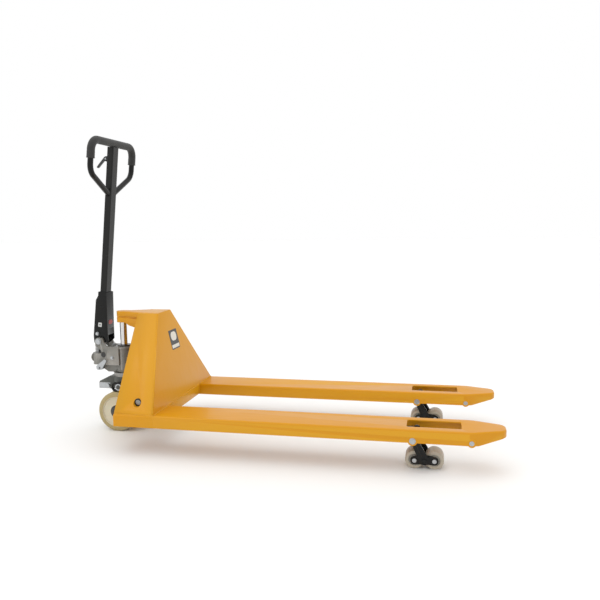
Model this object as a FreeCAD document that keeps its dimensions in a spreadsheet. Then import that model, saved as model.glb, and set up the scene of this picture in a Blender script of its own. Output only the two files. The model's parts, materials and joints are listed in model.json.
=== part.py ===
import FreeCAD, Part
import math
import os
import re

import Sketcher
from FreeCAD import Placement, Rotation, Vector

# Hand pallet jack with tandem load rollers, forks raised.
# The drawing frame has x = 0 on the lifting ram, +X to the fork tips, +Y to the jack's left and
# z = 0 on the ground. Each sub-part is then shifted by OriginShift, so that the finished jack has
# its origin on the ground under the middle of its length. All sizes are millimetres.

DIMENSIONS = [
    ("OriginShift", 745, "ram axis to the middle of the overall length"),
    ("Wall", 5, "fork and frame sheet thickness"),
    ("ForkTop", 165, "height of the load face, raised"),
    ("ForkThick", 50, "fork depth"),
    ("ForkWidth", 160, "width of one fork"),
    ("ForkCentre", 262.5, "fork centreline to the middle plane"),
    ("ForkRound", 7, "rounding of the fork's bent edges"),
    ("HeelRear", 112, "rear end of the fork heels"),
    ("BladeStart", 287, "front face of the load panel at the forks"),
    ("TaperStart", 1530, "where the fork starts to taper"),
    ("ForkTip", 1650, "fork tip"),
    ("TipHalf", 36, "half width of the tip"),
    ("TipRise", 25, "rise of the tip's underside"),
    ("SlotStart", 1289, "rear end of the roller slot"),
    ("SlotEnd", 1490, "front end of the roller slot"),
    ("SlotHalf", 42.5, "half width of the roller slot"),
    ("RollerPivotX", 1313, "load roller frame pivot"),
    ("RollerPivotZ", 122, "load roller frame pivot height"),
    ("PivotPinR", 8, "load roller frame pivot pin radius"),
    ("EntryX", 1524, "entry roller axis"),
    ("EntryZ", 125, "entry roller axis height"),
    ("EntryPinR", 5, "entry roller pin radius"),
    ("FootY", 337, "outside of the side plates at the forks"),
    ("FrameTop", 540, "top of the frame"),
    ("TopHalf", 65, "half width of the frame at the top"),
    ("RearFootX", 115, "rear edge of the side plates at the forks"),
    ("RearTopX", 107, "rear edge of the side plates at the top"),
    ("PanelTopX", 203, "front face of the load panel at the top"),
    ("TorsionX", 206, "torsion shaft axis"),
    ("TorsionZ", 206, "torsion shaft height"),
    ("TorsionR", 16, "torsion shaft radius"),
    ("RamR", 16, "lifting ram radius"),
    ("Fit", 0.05, "radial clearance of a running fit"),
    ("NeckR", 36, "pump neck and cylinder radius"),
    ("BaseR", 55, "steering base radius"),
    ("BaseLow", 200, "underside of the steering base"),
    ("BaseHigh", 244, "top of the steering base"),
    ("TrunnionZ", 203, "height of the base trunnions"),
    ("TrunnionR", 10, "trunnion radius"),
    ("PumpLow", 262, "underside of the pump cylinder"),
    ("PumpHigh", 380, "top of the pump cylinder"),
    ("EarIn", 33, "inner face of the pump's ears"),
    ("EarOut", 44, "outer face of the pump's ears"),
    ("PortX", -84, "port in the pump's right ear"),
    ("PortZ", 343, "height of that port"),
    ("ValveX", -100, "lowering valve axis"),
    ("ValveZ", 284, "lowering valve height"),
    ("BarrelLow", 292, "underside of the plunger barrel"),
    ("BarrelTop", 345, "top of the plunger barrel"),
    ("BossRear", -160, "rear face of the valve boss"),
    ("BossZ", 323, "height of the valve boss"),
    ("BracketLow", 466, "underside of the top bracket at the frame"),
    ("RamStop", 490, "underside of the top bracket over the ram"),
    ("GrooveLow", 511, "lower side of the top bracket's groove"),
    ("GrooveHigh", 519, "upper side of the top bracket's groove"),
    ("AxleX", -12, "steering wheel axle, behind the ram"),
    ("AxleR", 10, "steering wheel axle radius"),
    ("WheelR", 90, "steering wheel radius"),
    ("WheelIn", 28, "inner face of a steering wheel"),
    ("WheelOut", 78, "outer face of a steering wheel"),
    ("HubR", 26, "steering wheel bearing radius"),
    ("HandleX", -104, "handle pivot"),
    ("HandleZ", 404, "handle pivot height"),
    ("ShaftR", 10, "handle pivot shaft radius"),
    ("Lean", 6.35, "forward lean of the parked handle, degrees"),
    ("PlungerX", -131, "pump plunger axis"),
    ("PlungerR", 10, "pump plunger radius"),
    ("CapTop", 405.6, "top of the plunger cap"),
    ("PressX", -17.5, "press roller from the handle pivot"),
    ("PressZ", 13.4, "press roller above the handle pivot"),
    ("PressR", 11, "press roller radius"),
    ("CheekOut", 31, "outer face of the handle bracket's cheeks"),
    ("TubeHalfX", 15, "half depth of the handle tube"),
    ("TubeHalfY", 25, "half width of the handle tube"),
    ("LoopR", 12, "radius of the loop's tube"),
    ("LoopHalf", 183, "half width of the hand loop, on centre"),
    ("LoopTop", 885, "hand loop's top bar above the pivot"),
    ("LoopBend", 750, "lower bend of the hand loop"),
    ("LoopJoin", 667, "where the hand loop meets the tube"),
    ("GripLow", 807, "lower end of the grip sleeve"),
    ("GripR", 16.5, "grip sleeve radius"),
    ("LeverZ", 816, "control lever pivot above the handle pivot"),
    ("ArmIn", 64, "inner face of the rocker arms"),
    ("ArmOut", 74, "outer face of the rocker arms"),
    ("DriveIn", 270.5, "inner face of the drive arms"),
    ("DriveOut", 282.5, "outer face of the drive arms"),
    ("DrivePinX", 220, "drive pin, forks raised"),
    ("DrivePinZ", 135.4, "drive pin height, forks raised"),
    ("PushPinX", 1327, "push pin, forks raised"),
    ("PushPinZ", 145, "push pin height, forks raised"),
    ("BogieX", 1355.9, "bogie pivot, forks raised"),
    ("BogieZ", 35, "bogie pivot height, forks raised"),
    ("BogiePinR", 10, "bogie pivot radius"),
    ("CheekIn", 45, "inner face of the roller frame's cheeks, from the fork's centre"),
    ("RollerR", 35, "load roller radius"),
    ("RollerHalf", 33, "half width of a load roller"),
    ("RollerStep", 37, "load roller axle from the bogie pivot"),
    ("RollerAxleR", 8, "load roller axle radius"),
]
SIDES = {"l": 1, "r": -1}
PLANES = {"top": "XY_Plane", "side": "XZ_Plane", "front": "YZ_Plane"}

doc = FreeCAD.newDocument("PalletJack")
sheet = doc.addObject("Spreadsheet::Sheet", "Dims")
for row, (alias, number, note) in enumerate(DIMENSIONS, start=1):
    sheet.set(f"A{row}", note)
    sheet.set(f"B{row}", str(number))
    sheet.setAlias(f"B{row}", alias)
doc.recompute()
probe = doc.addObject("App::FeaturePython", "Probe")
nodes = []


def cell(text):
    """Turn an expression in plain dimension names into one that reads the sheet."""
    return re.sub(r"\b[A-Z]\w*", lambda name: "Dims." + name.group(0), str(text))


def value(text):
    """The present value of an expression in dimension names."""
    return float(probe.evalExpression(cell(text)))


def place(item, x="0", y="0", z="0", lean="0"):
    """Bind an item's placement: a turn about its own Y axis, then a move."""
    item.Placement = Placement(Vector(0, 0, 0), Rotation(Vector(0, 1, 0), 1))
    item.setExpression("Placement.Base.x", cell(f"({x}) - OriginShift"))
    item.setExpression("Placement.Base.y", cell(y))
    item.setExpression("Placement.Base.z", cell(z))
    item.setExpression("Placement.Rotation.Angle", cell(lean))


def new_body(name, **where):
    body = doc.addObject("PartDesign::Body", name)
    body.Label = name
    place(body, **where)
    nodes.append(body)
    return body


def new_part(name, item, **where):
    item.Label = name
    place(item, **where)
    nodes.append(item)
    return item


def bind(profile, kind, first, point, text):
    """Hold one coordinate of a sketch point, measured from the sketch's origin, to the sheet."""
    index = profile.addConstraint(Sketcher.Constraint(kind, -1, 1, first, point, value(text)))
    profile.setExpression(f"Constraints[{index}]", cell(text))


def rounded_end(corner, toward, radius, half_turn):
    """Where a straight run that leaves a corner starts, past the corner's rounding."""
    run = (toward - corner).normalize()
    return corner + run * (radius / math.tan(half_turn))


def corner_arc(before, corner, after, radius):
    """The rounding of one corner, as an arc and whether it runs against the outline."""
    incoming = (corner - before).normalize()
    outgoing = (after - corner).normalize()
    half_turn = (math.pi - incoming.getAngle(outgoing)) / 2
    start = rounded_end(corner, before, radius, half_turn)
    end = rounded_end(corner, after, radius, half_turn)
    inward = (outgoing - incoming).normalize()
    middle = corner + inward * (radius / math.sin(half_turn) - radius)
    return start, middle, end


def draw_path(profile, corners, closed):
    """Draw straight runs with tangent arcs at the corners that state a radius."""
    count = len(corners)
    spots = [Vector(value(item[0]), value(item[1]), 0) for item in corners]
    turns = {}
    for i, item in enumerate(corners):
        if len(item) == 3:
            turns[i] = corner_arc(spots[i - 1], spots[i], spots[(i + 1) % count], value(item[2]))
    runs = []
    for i in range(count if closed else count - 1):
        j = (i + 1) % count
        start = turns[i][2] if i in turns else spots[i]
        end = turns[j][0] if j in turns else spots[j]
        runs.append(profile.addGeometry(Part.LineSegment(start, end), False))
    for i, item in enumerate(corners):
        if i in turns:
            round_corner(profile, item, spots[i], turns[i], runs[i - 1], runs[i])
        else:
            if closed or 0 < i < count - 1:
                profile.addConstraint(Sketcher.Constraint("Coincident", runs[i - 1], 2, runs[i], 1))
            line, point = (runs[i], 1) if i < len(runs) else (runs[-1], 2)
            bind(profile, "DistanceX", line, point, item[0])
            bind(profile, "DistanceY", line, point, item[1])


def round_corner(profile, item, spot, turn, before, after):
    """Add one corner's arc, tangent to both runs, and hold the sharp corner to the sheet."""
    arc = profile.addGeometry(Part.Arc(*turn), False)
    gaps = [profile.getPoint(arc, point).distanceToPoint(turn[0]) for point in (1, 2)]
    first, last = (1, 2) if gaps[0] < gaps[1] else (2, 1)
    profile.addConstraint(Sketcher.Constraint("Tangent", before, 2, arc, first))
    profile.addConstraint(Sketcher.Constraint("Tangent", arc, last, after, 1))
    sharp = profile.addGeometry(Part.Point(spot), True)
    profile.addConstraint(Sketcher.Constraint("PointOnObject", sharp, 1, before))
    profile.addConstraint(Sketcher.Constraint("PointOnObject", sharp, 1, after))
    bind(profile, "DistanceX", sharp, 1, item[0])
    bind(profile, "DistanceY", sharp, 1, item[1])
    index = profile.addConstraint(Sketcher.Constraint("Radius", arc, value(item[2])))
    profile.setExpression(f"Constraints[{index}]", cell(item[2]))


def draw_circle(profile, across, up, radius):
    circle = Part.Circle(Vector(value(across), value(up), 0), Vector(0, 0, 1), value(radius))
    index = profile.addGeometry(circle, False)
    bind(profile, "DistanceX", index, 3, across)
    bind(profile, "DistanceY", index, 3, up)
    size = profile.addConstraint(Sketcher.Constraint("Radius", index, value(radius)))
    profile.setExpression(f"Constraints[{size}]", cell(radius))


def new_sketch(body, view, offset="0"):
    profile = body.newObject("Sketcher::SketchObject", "Sketch")
    plane = [item for item in body.Origin.OriginFeatures if item.Role == PLANES[view]][0]
    profile.AttachmentSupport = (plane, [""])
    profile.MapMode = "FlatFace"
    profile.setExpression("AttachmentOffset.Base.z", cell(offset))
    return profile


def outline(body, view, shapes, low, high):
    """A sketch of outlines (lists of corners) and circles (tuples) at the low side of a range."""
    offset = f"-({high})" if view == "side" else low
    profile = new_sketch(body, view, offset)
    for shape in shapes:
        if isinstance(shape, tuple):
            draw_circle(profile, *shape)
        else:
            draw_path(profile, shape, True)
    return profile


def pad(body, view, shapes, low, high):
    """Add material between two distances along the view's axis."""
    feature = body.newObject("PartDesign::Pad", "Pad")
    feature.Profile = outline(body, view, shapes, low, high)
    feature.setExpression("Length", cell(f"({high}) - ({low})"))
    body.Tip = feature
    doc.recompute()
    return feature


def pocket(body, view, shapes, low, high):
    """Remove material between two distances along the view's axis, and check that some went."""
    before = body.Shape.Volume
    feature = body.newObject("PartDesign::Pocket", "Pocket")
    feature.Profile = outline(body, view, shapes, low, high)
    feature.Reversed = True
    feature.setExpression("Length", cell(f"({high}) - ({low})"))
    body.Tip = feature
    doc.recompute()
    if not feature.Shape.Volume < before - 1:
        raise RuntimeError(f"{body.Label}: a pocket cut nothing")
    return feature


def revolve(body, view, corners, axis):
    """Turn an outline a full circle about one of the body's own axes."""
    profile = new_sketch(body, view)
    draw_path(profile, corners, True)
    feature = body.newObject("PartDesign::Revolution", "Revolution")
    feature.Profile = profile
    line = [item for item in body.Origin.OriginFeatures if item.Role == axis][0]
    feature.ReferenceAxis = (line, [""])
    feature.Angle = 360
    body.Tip = feature
    doc.recompute()
    return feature


def round_edges(body, radius, chosen):
    """Fillet the edges of the present solid that the test picks out."""
    base = body.Tip
    names = [f"Edge{i}" for i, edge in enumerate(base.Shape.Edges, start=1) if chosen(edge)]
    feature = body.newObject("PartDesign::Fillet", "Fillet")
    feature.Base = (base, names)
    feature.setExpression("Radius", cell(radius))
    body.Tip = feature
    doc.recompute()
    return feature


def cross_rod(name, x, z, radius, low, high):
    """A plain round rod that lies across the jack, along Y."""
    rod = doc.addObject("Part::Cylinder", name)
    rod.setExpression("Radius", cell(radius))
    rod.setExpression("Height", cell(f"({high}) - ({low})"))
    rod.Placement = Placement(Vector(0, 0, 0), Rotation(Vector(1, 0, 0), -90))
    rod.setExpression("Placement.Base.x", cell(x))
    rod.setExpression("Placement.Base.y", cell(low))
    rod.setExpression("Placement.Base.z", cell(z))
    return rod


def group(name, members, **where):
    """One node of several like pieces."""
    compound = doc.addObject("Part::Compound", name)
    compound.Links = members
    return new_part(name, compound, **where)


# --- frame: two forks, the welded A-shaped body and the ram bracket ---------------------------

# Sheet thickness measured level: across the leaning side plates, and along the leaning panel.
SIDE_WALL = "(Wall * sqrt((FootY - TopHalf)^2 + (FrameTop - ForkTop)^2) / (FrameTop - ForkTop))"
PANEL_WALL = "(Wall * sqrt((BladeStart - PanelTopX)^2 + (FrameTop - ForkTop)^2) / (FrameTop - ForkTop))"


def fork_blade(end, sign):
    """Inverted channel with a tapered, upswept tip, a roller slot and two pairs of ears."""
    body = new_body(f"fork_blade_{end}", y=f"{sign} * ForkCentre")
    half = "ForkWidth / 2"
    inner = "(ForkWidth / 2 - Wall)"
    low = "ForkTop - ForkThick"
    pad(body, "top", [[
        ("BladeStart", f"-{half}"), ("TaperStart", f"-{half}", "90"), ("ForkTip", "-TipHalf", "34"),
        ("ForkTip", "TipHalf", "34"), ("TaperStart", half, "90"), ("BladeStart", half),
    ]], low, "ForkTop")
    top = value("ForkTop") - 0.01
    start = value("BladeStart") + 0.01
    round_edges(body, "ForkRound", lambda edge: edge.BoundBox.ZMin > top and edge.BoundBox.XMax > start)
    for sign_ear, inside in ((1, inner), (-1, f"-{half}")):
        for x, z, radius in (("RollerPivotX", "RollerPivotZ", "18"), ("EntryX", "EntryZ", "16")):
            pad(body, "side", [(x, z, radius)], inside, f"{inside} + Wall")
    pocket(body, "top", [[
        ("BladeStart - 1", f"-{inner}"), ("TaperStart", f"-{inner}", "85"),
        ("ForkTip - 30", "-(TipHalf + Wall)"), ("ForkTip - 8", "-14"), ("ForkTip - 8", "14"),
        ("ForkTip - 30", "TipHalf + Wall"), ("TaperStart", inner, "85"), ("BladeStart - 1", inner),
    ]], f"{low} - 20", "ForkTop - Wall")
    pocket(body, "side", [[
        ("TaperStart + 20", f"{low} - 1"), ("ForkTip + 1", f"{low} - 1"),
        ("ForkTip + 1", f"{low} + TipRise"), ("TaperStart + 20", low),
    ]], f"-{half} - 1", f"{half} + 1")
    pocket(body, "top", [[
        ("SlotStart", "-SlotHalf", "8"), ("SlotEnd", "-SlotHalf", "8"),
        ("SlotEnd", "SlotHalf", "8"), ("SlotStart", "SlotHalf", "8"),
    ]], "ForkTop - 2 * Wall", "ForkTop + 1")
    pocket(body, "side", [
        ("RollerPivotX", "RollerPivotZ", "PivotPinR + Fit"), ("EntryX", "EntryZ", "EntryPinR + Fit"),
    ], f"-{half} - 1", f"{half} + 1")


def fork_heel(end, sign):
    """The fork's rear end under the frame, closed behind, with a slot for the drive arm."""
    body = new_body(f"fork_heel_{end}", y=f"{sign} * ForkCentre")
    half = "ForkWidth / 2"
    inner = "(ForkWidth / 2 - Wall)"
    low = "ForkTop - ForkThick"
    pad(body, "top", [[
        ("HeelRear", f"-{half}", "6"), ("BladeStart", f"-{half}"),
        ("BladeStart", half), ("HeelRear", half, "6"),
    ]], low, "ForkTop")
    top = value("ForkTop") - 0.01
    front = value("BladeStart") - 0.01
    round_edges(body, "ForkRound", lambda edge: edge.BoundBox.ZMin > top and edge.BoundBox.XMin < front)
    pocket(body, "top", [[
        ("HeelRear + Wall", f"-{inner}"), ("BladeStart + 1", f"-{inner}"),
        ("BladeStart + 1", inner), ("HeelRear + Wall", inner),
    ]], f"{low} - 1", "ForkTop - Wall")
    centre = sign * 14
    pocket(body, "top", [[
        ("158", f"{centre} - 12", "6"), ("262", f"{centre} - 12", "6"),
        ("262", f"{centre} + 12", "6"), ("158", f"{centre} + 12", "6"),
    ]], "ForkTop - 2 * Wall", "ForkTop + 1")


def tip_skid(end, sign):
    """Sloping plate that closes the underside of the tip, so that it rides up over a pallet board."""
    body = new_body(f"tip_skid_{end}", y=f"{sign} * ForkCentre")
    low = "ForkTop - ForkThick"
    pad(body, "top", [[
        ("TaperStart + 22", "-62"), ("ForkTip - 30.5", "-(TipHalf + Wall - 0.6)"),
        ("ForkTip - 8.3", "-13.8"),
        ("ForkTip - 8.3", "13.8"), ("ForkTip - 30.5", "TipHalf + Wall - 0.6"), ("TaperStart + 22", "62"),
    ]], low, f"{low} + 40")
    pocket(body, "side", [[
        ("TaperStart + 20", f"{low} - 1"), ("ForkTip + 1", f"{low} - 1"),
        ("ForkTip + 1", f"{low} + TipRise"), ("TaperStart + 20", low),
    ]], "-70", "70")
    pocket(body, "side", [[
        ("TaperStart + 20", f"{low} + Wall"), ("ForkTip + 1", f"{low} + TipRise + Wall"),
        ("ForkTip + 1", f"{low} + 60"), ("TaperStart + 20", f"{low} + 60"),
    ]], "-70", "70")


def side_plate(end, sign):
    """Plate that leans in from the fork to the top of the frame, with the torsion shaft's hole."""
    body = new_body(f"side_plate_{end}")
    pad(body, "front", [[
        (f"{sign} * FootY", "ForkTop"), (f"{sign} * TopHalf", "FrameTop"),
        (f"{sign} * (TopHalf - {SIDE_WALL})", "FrameTop"), (f"{sign} * (FootY - {SIDE_WALL})", "ForkTop"),
    ]], "RearTopX - 5", "BladeStart")
    pocket(body, "side", [[
        (f"BladeStart - {PANEL_WALL}", "ForkTop"), ("BladeStart + 1", "ForkTop"),
        ("BladeStart + 1", "FrameTop"), (f"PanelTopX - {PANEL_WALL}", "FrameTop"),
    ]], "-FootY - 1", "FootY + 1")
    pocket(body, "side", [[
        ("RearTopX - 10", "ForkTop"), ("RearFootX", "ForkTop"),
        ("RearTopX", "FrameTop"), ("RearTopX - 10", "FrameTop"),
    ]], "-FootY - 1", "FootY + 1")
    pocket(body, "side", [("TorsionX", "TorsionZ", "TorsionR + Fit")], "-FootY - 1", "FootY + 1")


def load_panel():
    """Leaning front plate that the load stops against, as wide as the frame at every height."""
    body = new_body("load_panel")
    pad(body, "side", [[
        ("BladeStart", "ForkTop"), ("PanelTopX", "FrameTop"),
        (f"PanelTopX - {PANEL_WALL}", "FrameTop"), (f"BladeStart - {PANEL_WALL}", "ForkTop"),
    ]], "-FootY", "FootY")
    for sign in SIDES.values():
        pocket(body, "front", [[
            (f"{sign} * FootY", "ForkTop"), (f"{sign} * (FootY + 5)", "ForkTop"),
            (f"{sign} * (FootY + 5)", "FrameTop + 1"), (f"{sign} * TopHalf", "FrameTop + 1"),
            (f"{sign} * TopHalf", "FrameTop"),
        ]], "PanelTopX - 20", "BladeStart + 5")


def cross_apron():
    """The load panel's lower edge, turned down between the forks."""
    body = new_body("cross_apron")
    half = "ForkCentre - ForkWidth / 2"
    pad(body, "front", [[
        (f"-({half})", "ForkTop - ForkThick + 4"), (half, "ForkTop - ForkThick + 4"),
        (half, "ForkTop"), (f"-({half})", "ForkTop"),
    ]], "BladeStart - Wall", "BladeStart")


def top_bracket():
    """Cast arm over the ram: two stacked lips with a groove between, wider where the frame holds it."""
    body = new_body("top_bracket")
    wide = "TopHalf - 7"
    lip = "26"
    pad(body, "top", [[
        ("PanelTopX - 6", f"-({wide})"), ("PanelTopX - 6", wide), ("RearTopX", wide),
        ("30", lip), (f"-{lip}", lip, "24"), (f"-{lip}", f"-{lip}", "24"), ("30", f"-{lip}"),
        ("RearTopX", f"-({wide})"),
    ]], "BracketLow", "FrameTop")
    pocket(body, "side", [[
        ("-30", "BracketLow - 6"), ("RearTopX", "BracketLow - 6"), ("RearTopX", "BracketLow"),
        ("40", "RamStop - 11"), ("20", "RamStop"), ("-30", "RamStop"),
    ]], "-70", "70")
    for sign in SIDES.values():
        pocket(body, "top", [[
            ("-30", f"{sign} * 22"), ("28", f"{sign} * 22"), ("RearTopX - 4", f"{sign} * (TopHalf - 17)"),
            ("RearTopX - 4", f"{sign} * 80"), ("-30", f"{sign} * 80"),
        ]], "GrooveLow", "GrooveHigh")
    pocket(body, "top", [[
        ("-30", "-26"), ("-20", "-26"), ("-20", "26"), ("-30", "26"),
    ]], "GrooveLow", "GrooveHigh")
    pocket(body, "top", [("0", "0", "RamR + Fit")], "RamStop - 10", "GrooveLow + 1")


def ram():
    """Chromed lifting ram, between the bracket and the pump's cylinder."""
    rod = doc.addObject("Part::Cylinder", "ram")
    rod.setExpression("Radius", cell("RamR"))
    rod.Height = 222
    new_part("ram", rod, z="290")


def torsion_bushes():
    """Bearing rings welded inside the side plates round the torsion shaft."""
    rings = []
    for end, sign in SIDES.items():
        ring = doc.addObject("PartDesign::Body", f"bush_{end}")
        pad(ring, "side", [("TorsionX", "TorsionZ", "24"), ("TorsionX", "TorsionZ", "TorsionR + Fit")],
            "285" if sign > 0 else "-320", "320" if sign > 0 else "-285")
        pocket(ring, "front", [[
            (f"{sign} * (FootY - {SIDE_WALL})", "ForkTop"), (f"{sign} * (FootY + 30)", "ForkTop"),
            (f"{sign} * (FootY + 30)", "FrameTop"), (f"{sign} * (TopHalf - {SIDE_WALL})", "FrameTop"),
        ]], "TorsionX - 40", "TorsionX + 40")
        rings.append(ring)
    group("torsion_bushes", rings)


def fork_pins(end, sign):
    """Roller frame pivot pin and entry roller pin, each across the fork."""
    centre = f"{sign} * ForkCentre"
    pins = [
        cross_rod(f"pivot_pin_{end}", "RollerPivotX", "RollerPivotZ", "PivotPinR",
                  f"{centre} - ForkWidth / 2 - 1.5", f"{centre} + ForkWidth / 2 + 1.5"),
        cross_rod(f"entry_pin_{end}", "EntryX", "EntryZ", "EntryPinR",
                  f"{centre} - ForkWidth / 2 - 1", f"{centre} + ForkWidth / 2 + 1"),
    ]
    group(f"fork_pins_{end}", pins)


def entry_roller(end, sign):
    """Small roller behind the tip that carries the fork over a pallet's bottom board."""
    body = new_body(f"entry_roller_{end}", x="EntryX", y=f"{sign} * ForkCentre", z="EntryZ")
    inner = "EntryPinR + Fit"
    revolve(body, "front", [
        ("-62", inner), ("62", inner), ("62", "15.5"), ("60", "17"), ("-60", "17"), ("-62", "15.5"),
    ], "Y_Axis")


# --- steering base: the casting that the frame's rocker lifts against --------------------------

def base_casting():
    """Ring round the pump's neck with two trunnions and a sloping nose behind."""
    body = new_body("base_casting")
    pad(body, "top", [("0", "0", "BaseR")], "BaseLow", "BaseHigh")
    pad(body, "side", [[
        ("-30", "BaseHigh"), ("-62", "BaseHigh"), ("-112", "219"), ("-112", "213"), ("-60", "213"),
        ("-60", "186"), ("-44", "184"), ("-30", "BaseLow"),
    ]], "-38", "38")
    for low, high in (("50", "ArmOut + 3"), ("-ArmOut - 3", "-50")):
        pad(body, "side", [("0", "TrunnionZ", "TrunnionR")], low, high)
    pocket(body, "top", [("0", "0", "NeckR + Fit")], "BaseLow - 30", "BaseHigh + 1")


def nose_bar():
    """Bright steel block in the nose of the base, with its cross pin."""
    body = new_body("nose_bar")
    pad(body, "side", [[("-117", "185"), ("-60", "185"), ("-60", "213"), ("-117", "213")]], "-34", "34")
    pad(body, "side", [("-70", "199", "9")], "-44", "44")


def thrust_bearing():
    """Lower race of the steering bearing, between the base and the pump."""
    body = new_body("thrust_race_low")
    pad(body, "top", [("0", "0", "BaseR - 3"), ("0", "0", "NeckR + 2")], "BaseHigh", "BaseHigh + 6")
    body = new_body("thrust_race_high")
    pad(body, "top", [("0", "0", "BaseR - 3"), ("0", "0", "NeckR")], "BaseHigh + 6.4", "PumpLow")


# --- pump head: turns with the handle, carries the steering wheels -----------------------------

def pump_body():
    """Cast pump: cylinder, neck, axle block, plunger barrel, valve boss and the handle's two ears."""
    body = new_body("pump_body")
    pad(body, "top", [("0", "0", "NeckR")], "182", "PumpHigh")
    pad(body, "side", [[
        ("-46", "70", "14"), ("22", "70", "14"), ("26", "190"), ("-30", "190"), ("-42", "170"),
    ]], "-25", "25")
    pad(body, "side", [[
        ("-20", "PumpLow"), ("-70", "PumpLow", "8"), ("-118", "BarrelLow", "8"), ("PlungerX", "300"),
        ("PlungerX", "BarrelTop"), ("-78", "BarrelTop", "10"),
        ("-60", "PumpHigh - 2", "10"), ("-20", "PumpHigh - 2"),
    ]], "-27", "27")
    ears = (("EarIn", "EarOut", "26", "34"), ("-EarOut", "-EarIn", "-34", "-26"))
    for low, high, web_low, web_high in ears:
        pad(body, "side", [[
            ("-8", "296"), ("-8", "PumpHigh"), ("-72", "PumpHigh", "20"), ("-86", "420", "14"),
            ("-120", "420", "14"), ("-122", "386", "20"), ("-92", "360", "12"), ("-84", "296", "12"),
        ]], low, high)
        pad(body, "side", [[
            ("-70", "300"), ("-70", "372"), ("-14", "372"), ("-14", "300"),
        ]], web_low, web_high)
    pad(body, "top", [("PlungerX", "0", "24")], "BarrelLow", "BarrelTop")
    pad(body, "top", [("0", "0", "NeckR + 5")], "PumpHigh - 10", "PumpHigh")
    pad(body, "front", [("0", "BossZ", "16")], "BossRear", "PlungerX")
    pocket(body, "top", [("0", "0", "RamR + 3")], "190", "PumpHigh - 12")
    pocket(body, "top", [("0", "0", "RamR + Fit")], "PumpHigh - 13", "PumpHigh + 1")
    pocket(body, "top", [("PlungerX", "0", "PlungerR + Fit")], "BarrelLow + 10", "BarrelTop + 1")
    pocket(body, "side", [("HandleX", "HandleZ", "ShaftR + Fit")], "-EarOut - 1", "EarOut + 1")
    pocket(body, "side", [("AxleX", "WheelR", "AxleR + Fit")], "-26", "26")
    pocket(body, "side", [("PortX", "PortZ", "13")], "-EarOut - 1", "-EarIn")


def ram_seal():
    """Wiper ring on top of the cylinder."""
    body = new_body("ram_seal")
    pad(body, "top", [("0", "0", "NeckR - 6"), ("0", "0", "RamR + Fit")], "PumpHigh", "PumpHigh + 6")


def wheel_axle():
    """Axle through the pump's block, with a dust cap on each end.

    The caps are turned about their own Y axis, so they are set on the axle first; the shift back
    by OriginShift leaves them in the drawing frame, like the other members of a group.
    """
    rod = cross_rod("axle_rod", "AxleX", "WheelR", "AxleR", "-WheelOut - 1", "WheelOut + 1")
    group("wheel_axle", [rod])
    caps = []
    for end, sign in SIDES.items():
        cap = doc.addObject("PartDesign::Body", f"cap_{end}")
        inner, outer = ("WheelOut + 1", "WheelOut + 7")
        place(cap, x="AxleX + OriginShift", z="WheelR")
        revolve(cap, "front", [
            (f"{sign} * ({inner})", "0"), (f"{sign} * ({outer})", "0"), (f"{sign} * ({outer})", "18"),
            (f"{sign} * ({outer} - 3)", "23"), (f"{sign} * ({inner})", "23"),
        ], "Y_Axis")
        caps.append(cap)
    group("axle_caps", caps)


def steering_wheel(end, sign):
    """Nylon wheel with chamfered tread and a dished web, on a steel bearing."""
    tyre = new_body(f"wheel_tyre_{end}", x="AxleX", z="WheelR")
    low, high = f"{sign} * WheelIn", f"{sign} * WheelOut"
    revolve(tyre, "front", [
        (low, "HubR"), (low, "WheelR - 6"), (f"{sign} * (WheelIn + 5)", "WheelR"),
        (f"{sign} * (WheelOut - 5)", "WheelR"), (high, "WheelR - 6"), (high, "WheelR - 22"),
        (f"{sign} * (WheelOut - 5)", "WheelR - 26"), (f"{sign} * (WheelOut - 5)", "HubR + 6"),
        (f"{sign} * (WheelOut - 1)", "HubR + 4"), (f"{sign} * (WheelOut - 1)", "HubR"),
    ], "Y_Axis")
    hub = new_body(f"wheel_hub_{end}", x="AxleX", z="WheelR")
    revolve(hub, "front", [
        (low, "AxleR + Fit"), (low, "HubR"), (f"{sign} * (WheelOut - 1)", "HubR"),
        (f"{sign} * (WheelOut - 1)", "AxleR + Fit"),
    ], "Y_Axis")


def valves():
    """Lowering valve below the port, and the round plug inside the port."""
    body = new_body("release_valve")
    pad(body, "side", [("ValveX", "ValveZ", "12")], "-40", "-27")
    pad(body, "side", [("ValveX", "ValveZ", "9")], "-52", "-40")
    port = cross_rod("port_plug", "PortX", "PortZ", "9", "-40", "-EarIn")
    filler = doc.addObject("Part::Cylinder", "filler")
    filler.Radius = 6
    filler.Height = 8
    filler.Placement.Base.x = -50
    filler.setExpression("Placement.Base.z", cell("PumpHigh - 2"))
    group("pump_plugs", [port, filler])


def pivot_shaft():
    shaft = cross_rod("pivot_shaft_rod", "HandleX", "HandleZ", "ShaftR", "-50", "50")
    group("pivot_shaft", [shaft])


def plunger():
    """Pump plunger with its cap, and the return spring round it."""
    body = new_body("plunger")
    pad(body, "top", [("PlungerX", "0", "PlungerR")], "340", "CapTop - 11")
    pad(body, "top", [("PlungerX", "0", "16")], "CapTop - 11", "CapTop")
    spring = new_body("plunger_spring")
    coil = [("PlungerX", "0", "15"), ("PlungerX", "0", "11")]
    pad(spring, "top", coil, "BarrelTop + 0.3", "CapTop - 11.3")


def release_lever():
    """Crank on the lowering valve, worked by the handle's rod."""
    body = new_body("release_lever")
    pad(body, "side", [[
        ("-112", "276", "10"), ("-88", "276", "10"), ("-60", "318", "6"),
        ("-70", "326", "6"), ("-112", "294", "8"),
    ]], "-60", "-54")
    pocket(body, "side", [("ValveX", "ValveZ", "4.5 + Fit")], "-61", "-53")


# --- handle: bracket, tube, hand loop and grip, drawn along its own leaning axis ---------------

HANDLE = {"x": "HandleX", "z": "HandleZ", "lean": "Lean"}


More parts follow.
